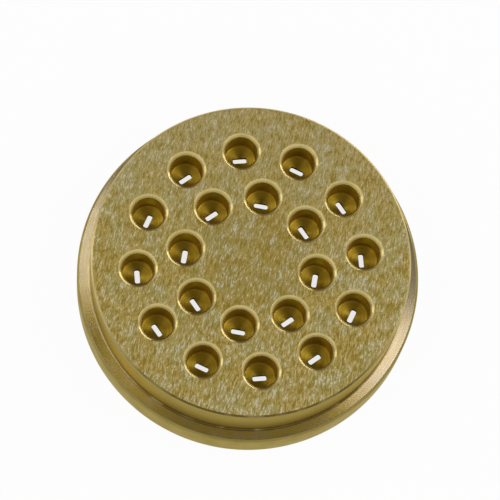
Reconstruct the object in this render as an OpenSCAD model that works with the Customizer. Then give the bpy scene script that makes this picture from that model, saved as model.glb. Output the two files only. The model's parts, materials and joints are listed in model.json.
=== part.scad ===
// Pasta extrusion die, turned and drilled from one brass bar, in millimetres.
// The die lies on the back of its flange, with its outlet face up. Dough enters the chamber from
// below, is pressed through a slot in the floor of each bore, and leaves through the bore.

/* [Hub and flange] */
// Diameter of the hub, which stands through the opening of the clamping ring
hub_d = 72; // [66:0.5:90]
// Height of the hub above the flange's shoulder
hub_h = 12.5; // [10:0.5:30]
// Chamfer around the hub's outlet face
hub_chamfer = 0.4; // [0.1:0.1:1]
// Width of the shoulder, from the hub's wall to the flange's rim
shoulder_w = 3; // [1.5:0.25:8]
// Height of the flange
flange_h = 9.5; // [4:0.5:20]
// Chamfer on both edges of the flange's rim
flange_chamfer = 0.5; // [0.1:0.1:1]
// Radius of the fillet where the hub's wall meets the shoulder
root_fillet = 0.5; // [0.1:0.1:1]

/* [Dough chamber] */
// Thickness of the hub's wall around the chamber
wall_t = 4; // [2:0.25:8]
// Radius of the fillet between the chamber's wall and ceiling
chamber_fillet = 1.5; // [0.2:0.1:3]
// Chamfer around the chamber's mouth
chamber_chamfer = 0.6; // [0.1:0.1:1.5]

/* [Bores] */
// Number of bores on the outer circle
outer_count = 12; // [4:1:14]
// Diameter of the outer circle of bore centres
outer_circle_d = 51; // [48:0.5:54]
// Number of bores on the inner circle
inner_count = 8; // [3:1:9]
// Diameter of the inner circle of bore centres
inner_circle_d = 30; // [24:0.5:33]
// Diameter of a bore
bore_d = 7.2; // [5:0.1:8.8]
// Depth of a bore's straight wall below the outlet face
bore_depth = 7.3; // [3:0.1:9]
// Included angle of a bore's conical floor
floor_angle = 172; // [140:1:176]
// Width of the countersink around a bore
countersink_w = 0.8; // [0.1:0.1:0.9]
// Included angle of the countersink
countersink_angle = 90; // [60:5:120]

/* [Slots] */
// Length of a slot, along its circle
slot_l = 3.2; // [2:0.1:4.5]
// Width of a slot
slot_w = 1.2; // [0.6:0.1:2.5]
// Radius of a slot's corners
slot_corner = 0.4; // [0.1:0.05:0.5]
// Depth of the land that shapes the pasta, below the lowest point of a bore's floor
land = 0.9; // [0.4:0.05:3]

/* [Hidden] */
$fn = 120;
BRASS = [0.66, 0.58, 0.33];
// How far a cut runs past the surface that it opens
over = 0.5;
hub_r = hub_d / 2;
flange_r = hub_r + shoulder_w;
total_h = flange_h + hub_h;
chamber_r = hub_r - wall_t;
bore_r = bore_d / 2;
floor_h = bore_r / tan(floor_angle / 2);
plate_t = bore_depth + floor_h + land;
chamber_h = total_h - plate_t;
countersink_slope = tan(countersink_angle / 2);
countersink_h = countersink_w / countersink_slope;
countersink_r = bore_r + countersink_w;
slot_corner_r = min(slot_corner, 0.45 * slot_w);

// Quarter round that fills an inside corner at the origin, between +X and +Y
module corner_fill(r) {
    difference() {
        square(r);
        translate([r, r]) circle(r);
    }
}

// Half section of the turned blank, with the axis along Y
module blank_section() {
    polygon([
        [0, chamber_h],
        [chamber_r, chamber_h],
        [chamber_r, chamber_chamfer],
        [chamber_r + chamber_chamfer, 0],
        [flange_r - flange_chamfer, 0],
        [flange_r, flange_chamfer],
        [flange_r, flange_h - flange_chamfer],
        [flange_r - flange_chamfer, flange_h],
        [hub_r, flange_h],
        [hub_r, total_h - hub_chamfer],
        [hub_r - hub_chamfer, total_h],
        [0, total_h],
    ]);
    translate([hub_r, flange_h]) corner_fill(root_fillet);
    translate([chamber_r, chamber_h]) rotate(180) corner_fill(chamber_fillet);
}

// Half section of one bore, with the edge of its floor at Y = 0
module bore_section() {
    polygon([
        [0, -floor_h],
        [bore_r, 0],
        [bore_r, bore_depth - countersink_h],
        [countersink_r + over * countersink_slope, bore_depth + over],
        [0, bore_depth + over],
    ]);
}

// Outline of a slot, centred, with its length along Y
module slot_outline() {
    square([slot_w, slot_l - 2 * slot_corner_r], center = true);
    square([slot_w - 2 * slot_corner_r, slot_l], center = true);
    for (x = [-1, 1], y = [-1, 1])
        translate([x * (slot_w / 2 - slot_corner_r), y * (slot_l / 2 - slot_corner_r)])
            circle(slot_corner_r);
}

// One outlet at the origin of its circle's place: the bore, and the slot in its floor
module outlet() {
    translate([0, 0, total_h - bore_depth])
        rotate_extrude() bore_section();
    translate([0, 0, chamber_h - over])
        linear_extrude(over + land + floor_h) slot_outline();
}

// Outlets spaced evenly on one circle, each slot along the circle's tangent
module outlet_circle(count, circle_d) {
    for (i = [0:count - 1])
        rotate(i * 360 / count)
            translate([circle_d / 2, 0, 0])
                outlet();
}

module die() {
    color(BRASS)
    difference() {
        rotate_extrude() blank_section();
        outlet_circle(outer_count, outer_circle_d);
        outlet_circle(inner_count, inner_circle_d);
    }
}

die();
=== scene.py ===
"""Looks of a brass pasta extrusion die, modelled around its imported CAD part.

The die is one closed mesh. Its blank is turned ring by ring from a half section, one outlet is
bored in the same way and copied round two circles, and the outlet face and the ceiling of the
dough chamber are filled between them. All lengths are in metres.
"""

import json
import logging
import math
from dataclasses import dataclass, field
from enum import Enum
from typing import Callable, Sequence

import bmesh
import bpy
from mathutils import Matrix, Vector


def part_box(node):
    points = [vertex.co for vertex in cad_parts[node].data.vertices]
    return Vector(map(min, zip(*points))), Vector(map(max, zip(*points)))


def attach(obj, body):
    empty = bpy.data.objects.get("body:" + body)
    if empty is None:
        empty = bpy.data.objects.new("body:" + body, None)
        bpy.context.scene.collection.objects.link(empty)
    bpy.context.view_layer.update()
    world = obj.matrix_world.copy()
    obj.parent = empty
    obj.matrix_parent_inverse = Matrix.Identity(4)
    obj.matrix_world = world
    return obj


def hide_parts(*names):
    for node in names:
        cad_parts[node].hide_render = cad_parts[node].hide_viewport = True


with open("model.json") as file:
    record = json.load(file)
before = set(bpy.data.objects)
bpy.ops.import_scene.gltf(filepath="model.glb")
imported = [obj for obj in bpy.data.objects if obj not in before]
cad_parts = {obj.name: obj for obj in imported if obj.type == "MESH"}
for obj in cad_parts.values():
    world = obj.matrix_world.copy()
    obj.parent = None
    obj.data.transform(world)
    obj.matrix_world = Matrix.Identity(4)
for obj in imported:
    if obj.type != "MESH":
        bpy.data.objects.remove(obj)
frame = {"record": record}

LOG = logging.getLogger("pasta_die")
MM = 0.001
NODE = "die"
AXIS = "turning_axis"
# Height of the dough chamber's ceiling, as in the part's source.
CEILING = 13.548 * MM
# Largest turn between two rings of a rounding.
TURN_STEP = math.radians(16.0)
# Faces that meet at less than this angle are shaded as one.
SMOOTH_ANGLE = math.radians(28.0)
# Turn, in whole turns, that spreads a reflection across the tool marks and not along them.
ACROSS_MARKS = 0.25
# Directions in the picture, in degrees from its right against the clock.
BRUSH_DEG = 77.0
# The near side: the face's painted highlights and shade grow toward it, and the edges carry painted
# shade and dark reflection there.
NEAR_SIDE_DEG = 270.0
# The side where the shoulder, away from its painted highlights, is painted a darker gold as shade.
SHOULDER_SHADE_DEG = 250.0
# Where the camera aims on the outlet face.
AIM_XY = (1.06 * MM, 2.11 * MM)
Colour = tuple[float, float, float]
Range = tuple[float, float]


class Surface(Enum):
    """Surfaces of the die with a finish of their own, in the order of its material slots."""

    FACE = 0
    TURNED = 1
    SHOULDER = 2
    EDGE = 3
    MOUTH = 4
    BORE = 5
    LAND = 6
    BACK = 7
    RIM = 8


@dataclass(frozen=True)
class Corner:
    """A corner of a half section.

    Attributes:
        r: Distance from the turning axis.
        z: Height.
        surface: Finish of the stretch that ends at this corner.
        rounding: Radius to which the corner is broken.
        rounded: Finish of the rounding, where it is not that of the stretch after it.
    """

    r: float
    z: float
    surface: Surface
    rounding: float = 0.0
    rounded: Surface | None = None


@dataclass(frozen=True)
class Station:
    """One ring of a turned shell, and the finish of the stretch that leads to it."""

    r: float
    z: float
    surface: Surface


def deselect_all() -> None:
    """Leave nothing selected, so that the next operator acts on its own piece only."""
    bpy.ops.object.select_all(action="DESELECT")


def take_up(*pieces: bpy.types.Object) -> None:
    """Select the given pieces and nothing else, with the first one active."""
    deselect_all()
    for piece in pieces:
        piece.select_set(True)
    bpy.context.view_layer.objects.active = pieces[0]


def select_edges(test: Callable[[bmesh.types.BMEdge], bool]) -> None:
    """Select the edges of the mesh in edit mode that pass a test, and no others.

    Args:
        test: Says whether an edge is wanted.
    """
    bpy.ops.mesh.select_all(action="DESELECT")
    bpy.ops.mesh.select_mode(type="EDGE")
    mesh = bpy.context.object.data
    shape = bmesh.from_edit_mesh(mesh)
    for edge in shape.edges:
        edge.select_set(test(edge))
    bmesh.update_edit_mesh(mesh)


def follow(corners: Sequence[Corner], turn_step: float) -> list[Station]:
    """Walk along a half section and break its corners to their roundings.

    Args:
        corners: The corners of the section, from its first ring to its last.
        turn_step: Largest turn between two rings of a rounding, in radians.

    Returns:
        The rings of the shell.
    """
    points = [Vector((corner.r, corner.z)) for corner in corners]
    rings = [Station(corners[0].r, corners[0].z, corners[0].surface)]
    for i in range(1, len(corners)):
        corner, here = corners[i], points[i]
        if i == len(corners) - 1 or not corner.rounding:
            rings.append(Station(corner.r, corner.z, corner.surface))
            continue
        back = (points[i - 1] - here).normalized()
        onward = (points[i + 1] - here).normalized()
        half = back.angle(onward) / 2
        reach = corner.rounding / math.tan(half)
        centre = here + (back + onward).normalized() * corner.rounding / math.sin(half)
        first = here + back * reach - centre
        turn = first.angle_signed(here + onward * reach - centre)
        steps = max(1, math.ceil(abs(turn) / turn_step))
        for k in range(steps + 1):
            spoke = Matrix.Rotation(-turn * k / steps, 2) @ first
            place = centre + spoke
            surface = corner.surface if k == 0 else corner.rounded or corners[i + 1].surface
            rings.append(Station(place.x, place.y, surface))
    return rings


def turn_shell(
    name: str, rings: Sequence[Station], segments: int, materials: Sequence[bpy.types.Material]
) -> bpy.types.Object:
    """Turn an open shell about the Z axis, ring by ring.

    Args:
        name: Name of the new object.
        rings: The rings of the shell, in order.
        segments: Number of vertices in a ring.
        materials: The material of each surface.

    Returns:
        The shell, each of its faces on the material slot of its surface.
    """
    deselect_all()
    here = rings[0]
    bpy.ops.mesh.primitive_circle_add(vertices=segments, radius=here.r)
    shell = bpy.context.object
    shell.name = shell.data.name = name
    bpy.ops.object.mode_set(mode="EDIT")
    bpy.ops.mesh.select_all(action="SELECT")
    bpy.ops.transform.translate(value=(0.0, 0.0, here.z))
    for ring in rings[1:]:
        bpy.ops.mesh.extrude_region_move(
            TRANSFORM_OT_translate={"value": (0.0, 0.0, ring.z - here.z)}
        )
        spread = ring.r / here.r
        bpy.ops.transform.resize(value=(spread, spread, 1.0), center_override=(0.0, 0.0, 0.0))
        here = ring
    bpy.ops.object.mode_set(mode="OBJECT")
    for material in materials:
        shell.data.materials.append(material)
    stretches = [
        (Vector(((a.r + b.r) / 2, (a.z + b.z) / 2)), b.surface) for a, b in zip(rings, rings[1:])
    ]
    for face in shell.data.polygons:
        corners = [shell.data.vertices[v].co for v in face.vertices]
        middle = Vector((
            sum(co.xy.length for co in corners) / len(corners),
            sum(co.z for co in corners) / len(corners),
        ))
        face.material_index = min(stretches, key=lambda s: (s[0] - middle).length)[1].value
    return shell


def mark_axis(piece: bpy.types.Object, axis: Vector) -> None:
    """Note on every vertex of a piece the axis that it was turned about.

    Args:
        piece: The piece, in its place.
        axis: A point of the axis.
    """
    note = piece.data.attributes.new(AXIS, "FLOAT_VECTOR", "POINT")
    note.data.foreach_set("vector", list(axis) * len(piece.data.vertices))


@dataclass
class Outlet:
    """One outlet, bored from the face down to its slot, on the Z axis.

    Attributes:
        top: Height of the outlet face.
        ceiling: Height of the dough chamber's ceiling.
        bore_r: Radius of the bore.
        bore_depth: Depth of the bore's straight wall below the face.
        floor_slope: Slope of the conical floor, in radians.
        countersink: Width and depth of the countersink.
        countersink_crown: How far the middle of the countersink stands out of a plain cone.
        slot_l: Length of the slot.
        slot_w: Width of the slot.
        slot_corner: Radius of the slot's corners.
        slot_corner_steps: Number of edges in one of the slot's corners.
        slot_side_cuts: Number of vertices within one of the slot's straight sides.
        steep: Share of the vertical in a normal, below which a face counts as the slot's wall.
        rim: Width of the strip of face that goes with the outlet.
        lip: Radius to which the edge of the countersink on the face is broken.
        edge: Radius to which the other edges of the countersink are broken.
        floor_corner: Radius between the bore's wall and floor.
        floor_end_r: Radius at which the floor's rings end and the floor runs on to the slot.
        floor_rings: Number of rings on the floor.
        segments: Number of vertices in a ring.
    """

    top: float
    ceiling: float
    bore_r: float = 3.6 * MM
    bore_depth: float = 7.3 * MM
    floor_slope: float = math.radians(4.0)
    countersink: float = 0.8 * MM
    countersink_crown: float = 0.028 * MM
    slot_l: float = 3.2 * MM
    slot_w: float = 1.2 * MM
    slot_corner: float = 0.4 * MM
    slot_corner_steps: int = 5
    slot_side_cuts: int = 7
    steep: float = 0.5
    rim: float = 0.2 * MM
    lip: float = 0.1 * MM
    edge: float = 0.05 * MM
    floor_corner: float = 0.15 * MM
    floor_end_r: float = 1.95 * MM
    floor_rings: int = 4
    segments: int = 72

    def floor_z(self, r: float) -> float:
        """Height of the conical floor at a distance from the bore's axis."""
        return self.top - self.bore_depth - (self.bore_r - r) * math.tan(self.floor_slope)

    def section(self) -> list[Corner]:
        """Half section of the bore, from the face to the floor around the slot."""
        mouth_r = self.bore_r + self.countersink
        middle = self.countersink / 2 - self.countersink_crown
        corners = [
            Corner(mouth_r + self.rim, self.top, Surface.FACE),
            Corner(mouth_r, self.top, Surface.FACE, self.lip),
            Corner(self.bore_r + middle, self.top - middle, Surface.MOUTH, self.edge),
            Corner(self.bore_r, self.top - self.countersink, Surface.MOUTH, self.edge),
            Corner(self.bore_r, self.floor_z(self.bore_r), Surface.BORE, self.floor_corner),
        ]
        for k in range(1, self.floor_rings + 1):
            r = self.bore_r + (self.floor_end_r - self.bore_r) * k / self.floor_rings
            corners.append(Corner(r, self.floor_z(r), Surface.BORE))
        return corners

    def cut_slot(self, shell: bpy.types.Object) -> None:
        """Join the slot to the floor of the bore and carry it down to the chamber.

        Args:
            shell: The bore, open at the floor.
        """
        deselect_all()
        bpy.ops.mesh.primitive_plane_add(size=1.0)
        slot = bpy.context.object
        slot.scale = (self.slot_w, self.slot_l, 1.0)
        bpy.ops.object.transform_apply(scale=True)
        bpy.ops.object.mode_set(mode="EDIT")
        bpy.ops.mesh.select_all(action="SELECT")
        bpy.ops.mesh.bevel(
            offset=self.slot_corner, segments=self.slot_corner_steps, affect="VERTICES"
        )
        bpy.ops.mesh.select_all(action="SELECT")
        bpy.ops.mesh.delete(type="ONLY_FACE")
        select_edges(lambda edge: edge.calc_length() > self.slot_corner)
        bpy.ops.mesh.subdivide(number_cuts=self.slot_side_cuts)
        bpy.ops.mesh.select_all(action="SELECT")
        outline = bmesh.from_edit_mesh(slot.data)
        for vert in outline.verts:
            vert.co.z = self.floor_z(vert.co.xy.length)
        bmesh.update_edit_mesh(slot.data)
        bpy.ops.object.mode_set(mode="OBJECT")
        take_up(shell, slot)
        bpy.ops.object.join()
        bpy.ops.object.mode_set(mode="EDIT")
        inside = self.floor_end_r + self.edge
        select_edges(
            lambda edge: len(edge.link_faces) != 2
            and all(vert.co.xy.length < inside for vert in edge.verts)
        )
        bpy.ops.mesh.bridge_edge_loops()
        shell.active_material_index = Surface.BORE.value
        bpy.ops.object.material_slot_assign()
        select_edges(
            lambda edge: edge.is_boundary
            and all(vert.co.xy.length < inside for vert in edge.verts)
        )
        bpy.ops.mesh.extrude_region_move(TRANSFORM_OT_translate={"value": (0.0, 0.0, -self.edge)})
        bpy.ops.transform.resize(
            value=(1.0, 1.0, 0.0), center_override=(0.0, 0.0, self.ceiling)
        )
        bpy.ops.object.mode_set(mode="OBJECT")
        for face in shell.data.polygons:
            if face.center.xy.length < self.floor_end_r and abs(face.normal.z) < self.steep:
                face.material_index = Surface.LAND.value

    def build(self, materials: Sequence[bpy.types.Material]) -> bpy.types.Object:
        """Bore one outlet.

        Args:
            materials: The material of each surface.

        Returns:
            The open shell of the outlet.
        """
        rings = follow(self.section(), TURN_STEP)
        shell = turn_shell("outlet", rings, self.segments, materials)
        self.cut_slot(shell)
        return shell


@dataclass
class Blank:
    """The turned blank: hub, flange and the dough chamber in its back.

    Attributes:
        top: Height of the outlet face.
        flange_r: Radius of the flange.
        hub_r: Radius of the hub.
        flange_h: Height of the shoulder.
        ceiling: Height of the dough chamber's ceiling.
        wall: Thickness of the wall between the hub and the chamber.
        hub_chamfer: Width and height of the chamfer round the face.
        flange_chamfer: Width and height of the chamfers on the flange.
        root_fillet: Radius between the hub and the shoulder.
        chamber_fillet: Radius between the chamber's wall and ceiling.
        chamber_chamfer: Width and height of the chamfer at the chamber's mouth.
        edge: Radius to which the other edges are broken.
        rim: Width of the strip of face that goes with the blank.
        segments: Number of vertices in a ring.
    """

    top: float
    flange_r: float
    hub_r: float
    flange_h: float
    ceiling: float
    wall: float = 4.0 * MM
    hub_chamfer: float = 0.4 * MM
    flange_chamfer: float = 0.5 * MM
    root_fillet: float = 0.5 * MM
    chamber_fillet: float = 1.5 * MM
    chamber_chamfer: float = 0.6 * MM
    edge: float = 0.1 * MM
    rim: float = 0.5 * MM
    segments: int = 288

    def section(self) -> list[Corner]:
        """Half section of the blank, from the face round the outside to the chamber's ceiling."""
        face_r = self.hub_r - self.hub_chamfer
        rim_r = self.flange_r - self.flange_chamfer
        chamber_r = self.hub_r - self.wall
        mouth_r = chamber_r + self.chamber_chamfer
        turned, back = Surface.TURNED, Surface.BACK
        return [
            Corner(face_r - self.rim, self.top, Surface.FACE),
            Corner(face_r, self.top, Surface.FACE, self.edge),
            # The chamfer round the face and the root fillet take the edge finish, with its painted
            # shade on the near side.
            Corner(self.hub_r, self.top - self.hub_chamfer, Surface.EDGE, self.edge),
            Corner(self.hub_r, self.flange_h, turned, self.root_fillet, Surface.EDGE),
            Corner(rim_r, self.flange_h, Surface.SHOULDER, self.edge, Surface.EDGE),
            Corner(self.flange_r, self.flange_h - self.flange_chamfer, turned, self.edge),
            Corner(self.flange_r, self.flange_chamfer, Surface.RIM, self.edge),
            Corner(rim_r, 0.0, turned, self.edge),
            Corner(mouth_r, 0.0, back, self.edge),
            Corner(chamber_r, self.chamber_chamfer, back, self.edge),
            Corner(chamber_r, self.ceiling, back, self.chamber_fillet),
            Corner(chamber_r - 2 * self.chamber_fillet, self.ceiling, back),
        ]

    def build(self, materials: Sequence[bpy.types.Material]) -> bpy.types.Object:
        """Turn the blank.

        Args:
            materials: The material of each surface.

        Returns:
            The blank, open at the face and at the chamber's ceiling.
        """
        rings = follow(self.section(), TURN_STEP)
        return turn_shell("brass_die", rings, self.segments, materials)


class NodeBench:
    """The node tree of one material, with short ways to add and join nodes."""

    def __init__(self, name: str) -> None:
        """Start a material that has nothing but its output.

        Args:
            name: Name of the material.
        """
        self.material = bpy.data.materials.new(name)
        self.material.use_nodes = True
        self.tree = self.material.node_tree
        self.tree.nodes.clear()
        self.output = self.tree.nodes.new("ShaderNodeOutputMaterial")

    def add(self, kind: str, **settings: object) -> bpy.types.Node:
        """Add a node.

        Args:
            kind: Kind of node, without the ShaderNode at its front.
            settings: The node's own settings, by name.

        Returns:
            The node.
        """
        node = self.tree.nodes.new("ShaderNode" + kind)
        for name, value in settings.items():
            setattr(node, name, value)
        return node

    def feed(self, socket: bpy.types.NodeSocket, source: object) -> None:
        """Link a socket to an output, or set it to a number, a vector or a colour."""
        if isinstance(source, bpy.types.NodeSocket):
            self.tree.links.new(source, socket)
        elif isinstance(source, tuple) and socket.type == "RGBA" and len(source) == 3:
            socket.default_value = (*source, 1.0)
        else:
            socket.default_value = source

    def math(self, operation: str, *inputs: object) -> bpy.types.NodeSocket:
        """Work out one number from others."""
        node = self.add("Math", operation=operation)
        for socket, source in zip(node.inputs, inputs):
            self.feed(socket, source)
        return node.outputs[0]

    def vector(self, operation: str, *inputs: object) -> bpy.types.NodeSocket:
        """Work out one vector from others."""
        node = self.add("VectorMath", operation=operation)
        for socket, source in zip(node.inputs, inputs):
            self.feed(socket, source)
        return node.outputs["Value" if operation in ("LENGTH", "DOT_PRODUCT") else "Vector"]

    def blend(self, *shares: tuple[object, float]) -> bpy.types.NodeSocket:
        """Add up numbers by their shares."""
        total: object = 0.0
        for source, share in shares:
            total = self.math("MULTIPLY_ADD", source, share, total)
        return total

    def noise(
        self,
        place: object,
        scale: float,
        detail: float = 2.0,
        roughness: float = 0.5,
        colour: bool = False,
    ) -> bpy.types.NodeSocket:
        """Add a noise texture.

        Args:
            place: The coordinates that it reads.
            scale: Cells to one unit of the coordinates.
            detail: Octaves of finer noise.
            roughness: How much each finer octave counts.
            colour: Whether three noises are wanted, as a colour.

        Returns:
            The noise, from 0 to 1.
        """
        node = self.add("TexNoise")
        self.feed(node.inputs["Vector"], place)
        node.inputs["Scale"].default_value = scale
        node.inputs["Detail"].default_value = detail
        node.inputs["Roughness"].default_value = roughness
        return node.outputs["Color" if colour else "Fac"]

    def spread(
        self, source: object, low: float, high: float, start: float = 0.0, end: float = 1.0
    ) -> bpy.types.NodeSocket:
        """Map a number from one range to another, and hold it there.

        Args:
            source: The number.
            low: Where the range of the number starts.
            high: Where the range of the number ends.
            start: What the result is at low.
            end: What the result is at high.

        Returns:
            The mapped number.
        """
        node = self.add("MapRange", clamp=True)
        for socket, value in zip(node.inputs, (source, low, high, start, end)):
            self.feed(socket, value)
        return node.outputs[0]

    def mix(self, amount: object, first: object, second: object) -> bpy.types.NodeSocket:
        """Mix two colours."""
        node = self.add("Mix", data_type="RGBA")
        self.feed(node.inputs["Factor"], amount)
        self.feed(node.inputs[6], first)
        self.feed(node.inputs[7], second)
        return node.outputs[2]

    def bump(self, height: object, depth: float, base: object = None) -> bpy.types.NodeSocket:
        """Turn a height into a bumped normal.

        Args:
            height: Height, from 0 to 1.
            depth: What a height of 1 is in metres.
            base: The normal to start from.

        Returns:
            The bumped normal.
        """
        node = self.add("Bump")
        node.inputs["Distance"].default_value = depth
        self.feed(node.inputs["Height"], height)
        if base is not None:
            self.feed(node.inputs["Normal"], base)
        return node.outputs["Normal"]

    def metal(
        self,
        colour: object,
        roughness: object,
        normal: object,
        anisotropy: float = 0.0,
        lay: object = None,
        sheer: Colour = (1.0, 1.0, 1.0),
    ) -> bpy.types.Material:
        """Finish the material as a bare metal.

        Args:
            colour: Colour of its reflection.
            roughness: Roughness.
            normal: Bumped normal.
            anisotropy: How much more the metal spreads light across its tool marks than along them.
            lay: Direction of the tool marks.
            sheer: Tint of what it reflects at a sheer angle.

        Returns:
            The finished material.
        """
        shader = self.add("BsdfPrincipled")
        shader.inputs["Metallic"].default_value = 1.0
        self.feed(shader.inputs["Base Color"], colour)
        self.feed(shader.inputs["Roughness"], roughness)
        self.feed(shader.inputs["Normal"], normal)
        self.feed(shader.inputs["Specular Tint"], sheer)
        if lay is not None:
            shader.inputs["Anisotropic"].default_value = anisotropy
            shader.inputs["Anisotropic Rotation"].default_value = ACROSS_MARKS
            self.feed(shader.inputs["Tangent"], lay)
        self.feed(self.output.inputs["Surface"], shader.outputs[0])
        return self.material


@dataclass(frozen=True)
class BrushedFace:
    """The outlet face: ground flat, then rubbed one way by hand, with short pale dashes painted as
    highlights and dark strokes painted as shade, both stronger toward the near side.

    Attributes:
        brush_deg: Direction of the strokes in the face, from the X axis.
        near_deg: Direction of the near side, toward which the painted highlights and shade grow,
            from the X axis.
        reach: Radius of the face.
        gold: Colour of its warmer patches.
        olive: Colour of its greener patches.
        dull: Colour between the strokes, a dark gold painted as shade in them.
        pale: Colour of the dashes, a painted highlight.
        haze: Paler colour painted as sheen toward the far side.
        haze_share: Share of that colour at its edge.
        roughness: Roughness of the dashes and of the rest.
        dash: Width and length of a dash.
        crowd: Width and length of a group of dashes.
        speck: Size of a speck.
        patch: Size of a patch.
        shares: What dashes, groups, specks and patches count for in the tone.
        mean_tone: Their sum where the face is neither dull nor pale.
        patch_range: From where to where a patch turns from gold to olive.
        dull_range: From where to where the tone turns dull.
        pale_range: From where to where the tone turns pale.
        bend: Length over which the strokes bend.
        wander: How far they bend.
        near_boost: How much stronger the strokes, their painted highlights and their painted shade
            are toward the near side.
        dull_middle_r: Radii between which the duller middle of the face ends.
        dull_middle: Share of the dull colour there.
        depth: Depth of the dashes.
    """

    brush_deg: float
    near_deg: float
    reach: float
    gold: Colour = (0.69, 0.51, 0.145)
    olive: Colour = (0.58, 0.485, 0.165)
    dull: Colour = (0.4, 0.285, 0.045)
    pale: Colour = (1.0, 0.9, 0.62)
    haze: Colour = (0.72, 0.58, 0.28)
    haze_share: float = 0.44
    roughness: Range = (0.4, 0.5)
    dash: Range = (0.27 * MM, 1.3 * MM)
    crowd: Range = (1.1 * MM, 2.2 * MM)
    speck: float = 0.45 * MM
    patch: float = 5.0 * MM
    shares: tuple[float, float, float, float] = (0.6, 0.26, 0.2, 0.15)
    mean_tone: float = 0.605
    patch_range: Range = (0.35, 0.65)
    dull_range: Range = (0.0, -0.09)
    pale_range: Range = (0.04, 0.115)
    bend: float = 3.5 * MM
    wander: float = 0.6 * MM
    near_boost: float = 0.18
    dull_middle_r: Range = (8.0 * MM, 18.0 * MM)
    dull_middle: float = 0.26
    depth: float = 0.014 * MM

    def stroke(self, bench: NodeBench, place: object, size: Range) -> bpy.types.NodeSocket:
        """Coordinates in which one unit is the width and the length of a stroke."""
        node = bench.add("Mapping", vector_type="TEXTURE")
        bench.feed(node.inputs["Vector"], place)
        node.inputs["Rotation"].default_value = (0.0, 0.0, math.radians(self.brush_deg - 90.0))
        node.inputs["Scale"].default_value = (size[0], size[1], size[0])
        return node.outputs[0]

    def material(self) -> bpy.types.Material:
        """Make the finish."""
        bench = NodeBench("brushed_face")
        place = bench.add("TexCoord").outputs["Object"]
        sway = bench.noise(place, 1 / self.bend, detail=1.0, colour=True)
        sway = bench.vector("SUBTRACT", sway, (0.5, 0.5, 0.5))
        sway = bench.vector("MULTIPLY", sway, (self.wander,) * 3)
        swayed = bench.vector("ADD", place, sway)
        strokes = self.stroke(bench, swayed, self.dash)
        dashes = bench.noise(strokes, 1.0, detail=3.0, roughness=0.6)
        crowds = bench.noise(self.stroke(bench, swayed, self.crowd), 1.0)
        specks = bench.noise(place, 1 / self.speck)
        patches = bench.noise(place, 1 / self.patch)
        near_angle = math.radians(self.near_deg)
        side = (math.cos(near_angle) / self.reach, math.sin(near_angle) / self.reach, 0.0)
        # Painted light: toward the near side the tone's contrast grows, and with it the painted
        # highlights and shade, as do the dashes' bumps.
        near_weight = bench.math(
            "MULTIPLY_ADD", bench.vector("DOT_PRODUCT", place, side), self.near_boost, 1.0
        )
        tone = bench.blend(*zip((dashes, crowds, specks, patches), self.shares))
        tone = bench.math("MULTIPLY", bench.math("SUBTRACT", tone, self.mean_tone), near_weight)
        colour = bench.mix(bench.spread(patches, *self.patch_range), self.gold, self.olive)
        # Painted sheen: a paler colour toward the far side of the face.
        light = bench.spread(near_weight, 1.0, 1.0 - self.near_boost, 0.0, self.haze_share)
        colour = bench.mix(light, colour, self.haze)
        middle = bench.vector("LENGTH", bench.vector("MULTIPLY", place, (1.0, 1.0, 0.0)))
        # The face is duller toward its middle.
        colour = bench.mix(bench.spread(middle, *self.dull_middle_r, self.dull_middle, 0.0), colour, self.dull)
        # Painted shade: the darkest tone turns dark gold.
        colour = bench.mix(bench.spread(tone, *self.dull_range), colour, self.dull)
        # Painted highlights: the palest tone turns the dashes nearly white.
        flecks = bench.spread(tone, *self.pale_range)
        colour = bench.mix(flecks, colour, self.pale)
        roughness = bench.spread(flecks, 0.0, 1.0, self.roughness[1], self.roughness[0])
        height = bench.math("MULTIPLY", dashes, near_weight)
        return bench.metal(colour, roughness, bench.bump(height, self.depth))


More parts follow.
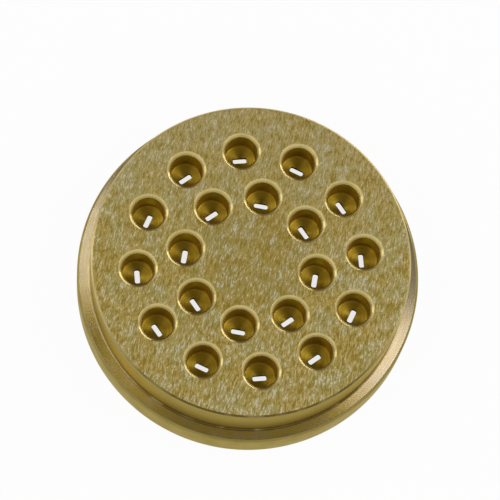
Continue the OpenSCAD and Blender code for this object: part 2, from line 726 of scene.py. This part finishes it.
@dataclass(frozen=True)
class TurnedMetal:
    """Brass as a lathe tool leaves it, with fine rings about an axis.

    Attributes:
        name: Name of the material.
        local: Whether the rings run about the axis that a piece was marked with.
        base: Colour of the metal.
        stain: Colour where it is duller.
        roughness: Roughness along the marks, least and most.
        anisotropy: How much more light spreads across the marks.
        pitch: Distance between tool marks.
        depth: Depth of the tool marks.
        sheer: Tint of what the metal reflects at a sheer angle.
        lean: How much a height counts against a radius in the spacing of the marks.
        wave: Length over which a mark changes on its way round.
        blotch: Size of the duller patches.
        tone_range: From where to where the tone turns from dull to clean.
        gloss_range: From where to where the tone turns from rough to smooth.
    """

    name: str
    local: bool
    # The default base and stain are brass darkened as painted shade, in place of the shaded floor
    # that the turned sides reflect.
    base: Colour = (0.36, 0.285, 0.09)
    stain: Colour = (0.3, 0.235, 0.065)
    roughness: Range = (0.26, 0.34)
    anisotropy: float = 0.75
    pitch: float = 0.16 * MM
    depth: float = 0.003 * MM
    sheer: Colour = (0.9, 0.8, 0.5)
    lean: float = 1.6
    wave: float = 12 * MM
    blotch: float = 4 * MM
    tone_range: Range = (0.38, 0.6)
    gloss_range: Range = (0.35, 0.65)

    def paint_side_shade(self, bench: NodeBench, flat: object, drift: object, colour: object) -> object:
        """Leave the colour as it is; a side-shaded finish paints its shade on here."""
        return colour

    def material(self) -> bpy.types.Material:
        """Make the finish."""
        bench = NodeBench(self.name)
        place = bench.add("TexCoord").outputs["Object"]
        spoke = place
        if self.local:
            axis = bench.add("Attribute", attribute_name=AXIS).outputs["Vector"]
            spoke = bench.vector("SUBTRACT", place, axis)
        parts = bench.add("SeparateXYZ")
        bench.feed(parts.inputs[0], spoke)
        flat = bench.vector("MULTIPLY", spoke, (1.0, 1.0, 0.0))
        rise = bench.math("MULTIPLY", parts.outputs["Z"], self.lean)
        along = bench.math("SUBTRACT", bench.vector("LENGTH", flat), rise)
        track = bench.add("CombineXYZ")
        bench.feed(track.inputs["X"], bench.math("DIVIDE", along, self.pitch))
        for across, level in (("Y", "X"), ("Z", "Y")):
            step = bench.math("MULTIPLY", parts.outputs[level], 1 / self.wave)
            bench.feed(track.inputs[across], step)
        marks = bench.noise(track.outputs[0], 1.0, roughness=0.6)
        drift = bench.noise(place, 1 / self.blotch, detail=3.0)
        lay = bench.vector("CROSS_PRODUCT", (0.0, 0.0, 1.0), flat)
        tone = bench.blend((marks, 0.5), (drift, 0.5))
        colour = bench.mix(bench.spread(tone, *self.tone_range), self.stain, self.base)
        colour = self.paint_side_shade(bench, flat, drift, colour)
        roughness = bench.spread(
            tone, *self.gloss_range, self.roughness[1], self.roughness[0]
        )
        return bench.metal(
            colour, roughness, bench.bump(marks, self.depth), self.anisotropy, lay, self.sheer
        )


@dataclass(frozen=True)
class SideShadedMetal(TurnedMetal):
    """Turned brass with a painted shade on one side of the die.

    Attributes:
        shade_colour: Colour of the painted shade.
        shade_deg: Direction of the shaded side, from the X axis.
        shade_spread: Cosines of the angle from it at which the painted shade starts and is full.
        drift_range: From where to where the slow noise turns a thin painted shade into a full one.
        thinnest: Share of the painted shade where it is thinnest.
    """

    # The default shade colour is the dark brown painted on the near edges as shade and dark
    # reflection.
    shade_colour: Colour = (0.16, 0.115, 0.035)
    shade_deg: float = 0.0
    shade_spread: Range = (0.35, 0.8)
    drift_range: Range = (0.25, 0.5)
    thinnest: float = 0.3

    def paint_side_shade(self, bench: NodeBench, flat: object, drift: object, colour: object) -> object:
        """Paint shade on the metal on one side, in stretches.

        Args:
            bench: The material's node tree.
            flat: Direction from the die's axis, level.
            drift: Slow noise.
            colour: Colour of the metal before its painted shade.

        Returns:
            The colour with its painted shade.
        """
        turn = math.radians(self.shade_deg)
        side = bench.vector(
            "DOT_PRODUCT",
            bench.vector("NORMALIZE", flat),
            (math.cos(turn), math.sin(turn), 0.0),
        )
        reached = bench.spread(side, *self.shade_spread)
        full = bench.spread(drift, *self.drift_range, self.thinnest, 1.0)
        # Painted shade, laid on one side in stretches.
        return bench.mix(bench.math("MULTIPLY", reached, full), colour, self.shade_colour)


@dataclass(frozen=True)
class CutLand:
    """Walls of the slots, cut by spark or broach: fine and matt, and painted dark as the shade
    inside the slots.

    Attributes:
        base: Colour of the metal, painted dark as shade.
        stain: Colour where it is darker still.
        sheer: Tint of what it reflects at a sheer angle, dark as painted shade.
        roughness: Roughness, least and most.
        grain: Size of the grain.
        tone_range: From where to where the grain turns from dark to clean.
        gloss_range: From where to where the grain turns from rough to smooth.
        depth: Depth of the grain.
    """

    base: Colour = (0.08, 0.055, 0.014)
    stain: Colour = (0.04, 0.027, 0.007)
    sheer: Colour = (0.1, 0.07, 0.02)
    roughness: Range = (0.36, 0.5)
    grain: float = 0.12 * MM
    tone_range: Range = (0.35, 0.65)
    gloss_range: Range = (0.3, 0.7)
    depth: float = 0.006 * MM

    def material(self) -> bpy.types.Material:
        """Make the finish."""
        bench = NodeBench("cut_land")
        place = bench.add("TexCoord").outputs["Object"]
        grain = bench.noise(place, 1 / self.grain)
        colour = bench.mix(bench.spread(grain, *self.tone_range), self.stain, self.base)
        roughness = bench.spread(
            grain, *self.gloss_range, self.roughness[1], self.roughness[0]
        )
        return bench.metal(colour, roughness, bench.bump(grain, self.depth), sheer=self.sheer)


Finish = BrushedFace | TurnedMetal | CutLand


@dataclass
class PastaDie:
    """The whole die: the blank, and its outlets on two circles.

    Attributes:
        blank: The turned blank.
        outlet: One outlet, on the Z axis.
        finishes: The finish of each surface.
        circles: Number of outlets and radius of each circle.
        near: How far from a height a vertex may lie and still count as lying on it.
    """

    blank: Blank
    outlet: Outlet
    finishes: dict[Surface, Finish]
    circles: Sequence[tuple[int, float]] = ((12, 25.5 * MM), (8, 15.0 * MM))
    near: float = 0.001 * MM

    def place_outlets(self, master: bpy.types.Object) -> list[bpy.types.Object]:
        """Copy the outlet round the circles, each slot along its circle.

        Args:
            master: The outlet on the Z axis, which goes once it is copied.

        Returns:
            The outlets in their places.
        """
        placed = []
        for count, radius in self.circles:
            for i in range(count):
                angle = 2 * math.pi * i / count
                take_up(master)
                bpy.ops.object.duplicate(linked=False)
                copy = bpy.context.object
                copy.location = (radius * math.cos(angle), radius * math.sin(angle), 0.0)
                copy.rotation_euler = (0.0, 0.0, angle)
                axis = copy.location.copy()
                bpy.ops.object.transform_apply(location=True, rotation=True)
                mark_axis(copy, axis)
                placed.append(copy)
        take_up(master)
        bpy.ops.object.delete()
        return placed

    def fill_level(self, die: bpy.types.Object, height: float, surface: Surface) -> None:
        """Fill the flat opening between all open rings at one height.

        Args:
            die: The die, in edit mode.
            height: Height of the rings.
            surface: Finish of the new faces.
        """
        select_edges(
            lambda edge: edge.is_boundary
            and all(abs(vert.co.z - height) < self.near for vert in edge.verts)
        )
        bpy.ops.mesh.fill(use_beauty=True)
        die.active_material_index = surface.value
        bpy.ops.object.material_slot_assign()

    def build(self) -> bpy.types.Object:
        """Model the die and dress it.

        Returns:
            The die, as one closed mesh.
        """
        materials = [self.finishes[surface].material() for surface in Surface]
        die = self.blank.build(materials)
        mark_axis(die, Vector())
        LOG.info("blank: %d faces", len(die.data.polygons))
        outlets = self.place_outlets(self.outlet.build(materials))
        LOG.info("outlets: %d of %d faces", len(outlets), len(outlets[0].data.polygons))
        take_up(die, *outlets)
        bpy.ops.object.join()
        bpy.ops.object.mode_set(mode="EDIT")
        self.fill_level(die, self.blank.top, Surface.FACE)
        self.fill_level(die, self.blank.ceiling, Surface.BACK)
        bpy.ops.mesh.select_all(action="SELECT")
        bpy.ops.mesh.normals_make_consistent(inside=False)
        bpy.ops.object.mode_set(mode="OBJECT")
        bpy.ops.object.shade_smooth_by_angle(angle=SMOOTH_ANGLE)
        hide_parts(NODE)
        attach(die, "root")
        return die


@dataclass(frozen=True)
class Softbox:
    """A soft lamp that looks at the die.

    Attributes:
        name: Name of the lamp.
        azimuth_deg: Where it stands, from the picture's right, against the clock.
        elevation_deg: How high it stands.
        width: Width of its cloth.
        height: Height of its cloth.
        radiance: Brightness of its cloth, where 1 is white.
        colour: Colour of its light.
        distance: Distance from the die.
    """

    name: str
    azimuth_deg: float
    elevation_deg: float
    width: float
    height: float
    radiance: float
    colour: Colour = (1.0, 1.0, 1.0)
    distance: float = 0.7


@dataclass
class Studio:
    """Floor, light and camera.

    Attributes:
        aim: The point that the camera aims at.
        azimuth_deg: Where the camera stands round the die.
        elevation_deg: How high the camera stands.
        roll_deg: How far the camera is rolled about its line of sight.
        distance: Distance from the camera to the point it aims at.
        lens_mm: Focal length.
        sensor_mm: Width of the sensor.
        clip_end: How far the camera sees.
        picture_right_deg: Direction of the picture's right in the floor.
        floor_size: Width of the floor.
        floor_gap: How far the floor lies below the die.
        floor_colour: Colour of the floor.
        floor_glow: How much of the floor that is seen is its own even glow.
        shaded_glow: The same under the die, lower there as a painted shadow.
        shaded_r: Radii between which the floor turns from one to the other.
        zenith: Brightness straight above.
        horizon: Brightness at the sides.
        zenith_range: Sines of the heights between which one turns into the other.
        dusk: Share of the brightness that is left in the dark corner.
        dusk_azimuth_deg: Where the dark corner is, from the picture's right.
        dusk_elevation_deg: How high the dark corner is.
        dusk_range: Cosines of the angle from it between which it gets dark.
        softboxes: The lamps.
    """

    aim: tuple[float, float, float]
    azimuth_deg: float = -47.51
    elevation_deg: float = 74.5
    roll_deg: float = 12.9
    distance: float = 0.6727
    lens_mm: float = 216.0
    sensor_mm: float = 36.0
    clip_end: float = 20.0
    picture_right_deg: float = -34.71
    floor_size: float = 6.0
    floor_gap: float = 0.1 * MM
    floor_colour: Colour = (0.9, 0.9, 0.9)
    floor_glow: float = 0.96
    shaded_glow: float = 0.8
    shaded_r: Range = (30.0 * MM, 34.0 * MM)
    zenith: float = 0.15
    horizon: float = 0.7
    zenith_range: Range = (0.8, 0.97)
    dusk: float = 0.25
    dusk_azimuth_deg: float = 90.0
    dusk_elevation_deg: float = 42.0
    dusk_range: Range = (0.68, 0.9)
    softboxes: Sequence[Softbox] = field(default_factory=lambda: (
        Softbox("right_softbox", 0.0, 60.5, 0.22, 0.3, 2.8, (0.88, 0.89, 1.0)),
        Softbox("left_softbox", 205.0, 57.0, 0.25, 0.25, 1.4),
        Softbox("back_softbox", 139.0, 62.5, 0.25, 0.16, 2.4),
        Softbox("low_right_softbox", 50.0, 10.0, 0.6, 0.22, 2.5),
        Softbox("low_left_softbox", 163.0, 11.0, 0.26, 0.22, 0.85),
    ))

    def direction(self, azimuth_deg: float, elevation_deg: float) -> Vector:
        """Direction from the die to a place in the studio.

        Args:
            azimuth_deg: Where the place is, from the picture's right, against the clock.
            elevation_deg: How high it is.

        Returns:
            The direction, with a length of 1.
        """
        azimuth = math.radians(azimuth_deg + self.picture_right_deg)
        elevation = math.radians(elevation_deg)
        return Vector((
            math.cos(azimuth) * math.cos(elevation),
            math.sin(azimuth) * math.cos(elevation),
            math.sin(elevation),
        ))

    def set_floor(self) -> None:
        """Lay a pale floor that glows evenly to the eye, with a painted shadow under the die, and
        is clear from below.
        """
        deselect_all()
        bpy.ops.mesh.primitive_plane_add(
            size=self.floor_size, location=(0.0, 0.0, -self.floor_gap)
        )
        floor = bpy.context.object
        floor.name = "floor"
        bench = NodeBench("floor_paper")
        path = bench.add("LightPath")
        seen = bench.math(
            "MAXIMUM",
            bench.math("MAXIMUM", path.outputs["Is Camera Ray"], path.outputs["Is Glossy Ray"]),
            path.outputs["Is Transmission Ray"],
        )
        place = bench.add("TexCoord").outputs["Object"]
        # Painted shadow: the floor's glow is lower under the die.
        level = bench.spread(
            bench.vector("LENGTH", place), *self.shaded_r, self.shaded_glow, self.floor_glow
        )
        paper = bench.add("BsdfDiffuse")
        bench.feed(paper.inputs["Color"], self.floor_colour)
        glow = bench.add("Emission")
        front = bench.add("MixShader")
        bench.feed(front.inputs[0], bench.math("MULTIPLY", seen, level))
        bench.feed(front.inputs[1], paper.outputs[0])
        bench.feed(front.inputs[2], glow.outputs[0])
        clear = bench.add("BsdfTransparent")
        sides = bench.add("MixShader")
        bench.feed(sides.inputs[0], bench.add("NewGeometry").outputs["Backfacing"])
        bench.feed(sides.inputs[1], front.outputs[0])
        bench.feed(sides.inputs[2], clear.outputs[0])
        bench.feed(bench.output.inputs["Surface"], sides.outputs[0])
        floor.data.materials.append(bench.material)

    @staticmethod
    def grade(
        tree: bpy.types.NodeTree, source: bpy.types.NodeSocket, limits: Range, levels: Range
    ) -> bpy.types.NodeSocket:
        """Let a number run smoothly from one level to another.

        Args:
            tree: The node tree of the world.
            source: The number.
            limits: Where its range starts and ends.
            levels: The result at the start and at the end.

        Returns:
            The graded number.
        """
        node = tree.nodes.new("ShaderNodeMapRange")
        node.interpolation_type = "SMOOTHSTEP"
        tree.links.new(source, node.inputs[0])
        for socket, value in zip(node.inputs[1:], (*limits, *levels)):
            socket.default_value = value
        return node.outputs[0]

    def set_world(self) -> None:
        """Light the die all round, with a pale horizon, a greyer zenith and one dark corner."""
        world = bpy.data.worlds.new("studio")
        bpy.context.scene.world = world
        world.use_nodes = True
        tree = world.node_tree
        sky = tree.nodes.new("ShaderNodeTexCoord").outputs["Generated"]
        height = tree.nodes.new("ShaderNodeSeparateXYZ")
        tree.links.new(sky, height.inputs[0])
        nearness = tree.nodes.new("ShaderNodeVectorMath")
        nearness.operation = "DOT_PRODUCT"
        tree.links.new(sky, nearness.inputs[0])
        nearness.inputs[1].default_value = self.direction(
            self.dusk_azimuth_deg, self.dusk_elevation_deg
        )
        level = tree.nodes.new("ShaderNodeMath")
        level.operation = "MULTIPLY"
        for socket, source, limits, levels in (
            (level.inputs[0], height.outputs["Z"], self.zenith_range, (self.horizon, self.zenith)),
            (level.inputs[1], nearness.outputs["Value"], self.dusk_range, (1.0, self.dusk)),
        ):
            tree.links.new(self.grade(tree, source, limits, levels), socket)
        background = tree.nodes["Background"]
        background.inputs["Color"].default_value = (1.0, 1.0, 1.0, 1.0)
        tree.links.new(level.outputs[0], background.inputs["Strength"])

    def set_lamps(self) -> None:
        """Stand the softboxes round the die, each facing it."""
        target = Vector(self.aim)
        for box in self.softboxes:
            away = self.direction(box.azimuth_deg, box.elevation_deg)
            deselect_all()
            bpy.ops.object.light_add(type="AREA", location=target + away * box.distance)
            lamp = bpy.context.object
            lamp.name = box.name
            lamp.rotation_euler = away.to_track_quat("Z", "Y").to_euler()
            lamp.data.shape = "RECTANGLE"
            lamp.data.size, lamp.data.size_y = box.width, box.height
            lamp.data.energy = box.radiance * math.pi * box.width * box.height
            lamp.data.color = box.colour
            LOG.info("%s: %.2f W", box.name, lamp.data.energy)

    def set_camera(self) -> None:
        """Stand the camera where the photograph was taken from."""
        azimuth, elevation = math.radians(self.azimuth_deg), math.radians(self.elevation_deg)
        back = Vector((
            math.sin(azimuth) * math.cos(elevation),
            -math.cos(azimuth) * math.cos(elevation),
            math.sin(elevation),
        ))
        level = Vector((math.cos(azimuth), math.sin(azimuth), 0.0))
        upright = back.cross(level)
        roll = math.radians(self.roll_deg)
        right = level * math.cos(roll) + upright * math.sin(roll)
        up = upright * math.cos(roll) - level * math.sin(roll)
        deselect_all()
        bpy.ops.object.camera_add()
        camera = bpy.context.object
        stand = Matrix((right, up, back)).transposed().to_4x4()
        stand.translation = Vector(self.aim) + back * self.distance
        camera.matrix_world = stand
        camera.data.lens, camera.data.sensor_width = self.lens_mm, self.sensor_mm
        camera.data.clip_end = self.clip_end
        bpy.context.scene.camera = camera

    def set_up(self) -> None:
        """Set up the whole studio."""
        self.set_floor()
        self.set_world()
        self.set_lamps()
        self.set_camera()
        bpy.context.scene.view_settings.view_transform = "Standard"


def brass_finishes(right_deg: float, reach: float) -> dict[Surface, Finish]:
    """Settle the finish of each surface.

    Args:
        right_deg: Direction of the picture's right in the floor, from the X axis.
        reach: Radius of the outlet face.

    Returns:
        The finishes.
    """
    return {
        Surface.FACE: BrushedFace(
            brush_deg=BRUSH_DEG + right_deg,
            near_deg=NEAR_SIDE_DEG + right_deg,
            reach=reach,
        ),
        # The sides take the default brass, darkened as painted shade.
        Surface.TURNED: TurnedMetal("turned_side", local=False),
        # The rim's brass and sheer tint are darker still, as painted shade.
        Surface.RIM: TurnedMetal(
            "turned_rim",
            local=False,
            base=(0.336, 0.267, 0.085),
            stain=(0.28, 0.22, 0.062),
            sheer=(0.86, 0.765, 0.48),
        ),
        # The shoulder's pale base is a painted highlight, and its darker, saturated gold on the
        # side away from the highlights is painted shade.
        Surface.SHOULDER: SideShadedMetal(
            "turned_shoulder",
            local=False,
            base=(0.8, 0.65, 0.41),
            stain=(0.7, 0.55, 0.3),
            shade_colour=(0.78, 0.57, 0.13),
            shade_deg=SHOULDER_SHADE_DEG + right_deg,
            shade_spread=(0.35, 0.65),
            roughness=(0.24, 0.28),
            anisotropy=0.9,
            pitch=0.3 * MM,
            depth=0.0015 * MM,
        ),
        # The face's chamfer and the root fillet carry painted shade and dark reflection on the near
        # side.
        Surface.EDGE: SideShadedMetal(
            "shaded_edge",
            local=False,
            base=(0.66, 0.54, 0.27),
            stain=(0.5, 0.39, 0.16),
            shade_deg=NEAR_SIDE_DEG + right_deg,
        ),
        # The mouth's brass is paler than the face's, partly as painted highlight, to whiten its
        # highlights.
        Surface.MOUTH: TurnedMetal(
            "countersunk_mouth",
            local=True,
            base=(0.8, 0.65, 0.27),
            stain=(0.68, 0.54, 0.2),
            roughness=(0.22, 0.3),
            anisotropy=0.7,
        ),
        # The bore's darker, more saturated brass is partly painted shade, for the light bouncing
        # inside it.
        Surface.BORE: TurnedMetal(
            "drilled_bore",
            local=True,
            base=(0.58, 0.4, 0.04),
            stain=(0.38, 0.25, 0.02),
            sheer=(0.7, 0.5, 0.12),
            roughness=(0.34, 0.44),
            anisotropy=0.85,
            pitch=0.5 * MM,
            depth=0.012 * MM,
        ),
        # The slots' walls are painted dark as shade.
        Surface.LAND: CutLand(),
        # The chamber takes the default brass, darkened as painted shade.
        Surface.BACK: TurnedMetal("turned_chamber", local=False, roughness=(0.3, 0.42)),
    }


def mount(name: str) -> dict:
    """Find one of the record's mounts.

    Args:
        name: Name of the mount.

    Returns:
        The mount's entry.
    """
    return next(entry for entry in frame["record"]["mounts"] if entry["name"] == name)


def main() -> None:
    """Build the die and the studio round it."""
    logging.basicConfig(level=logging.INFO, format="%(message)s")
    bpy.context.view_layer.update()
    low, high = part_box(NODE)
    top = high.z
    blank = Blank(
        top=top,
        flange_r=(high.x - low.x) / 2,
        hub_r=mount("hub_spigot")["dims"]["r_mm"] * MM,
        flange_h=mount("shoulder")["pos_m"][2],
        ceiling=CEILING,
    )
    outlet = Outlet(top=top, ceiling=CEILING)
    studio = Studio(aim=(*AIM_XY, top))
    finishes = brass_finishes(studio.picture_right_deg, blank.hub_r)
    die = PastaDie(blank, outlet, finishes).build()
    LOG.info("%s: %d faces", die.name, len(die.data.polygons))
    studio.set_up()


if __name__ == "__main__":
    main()
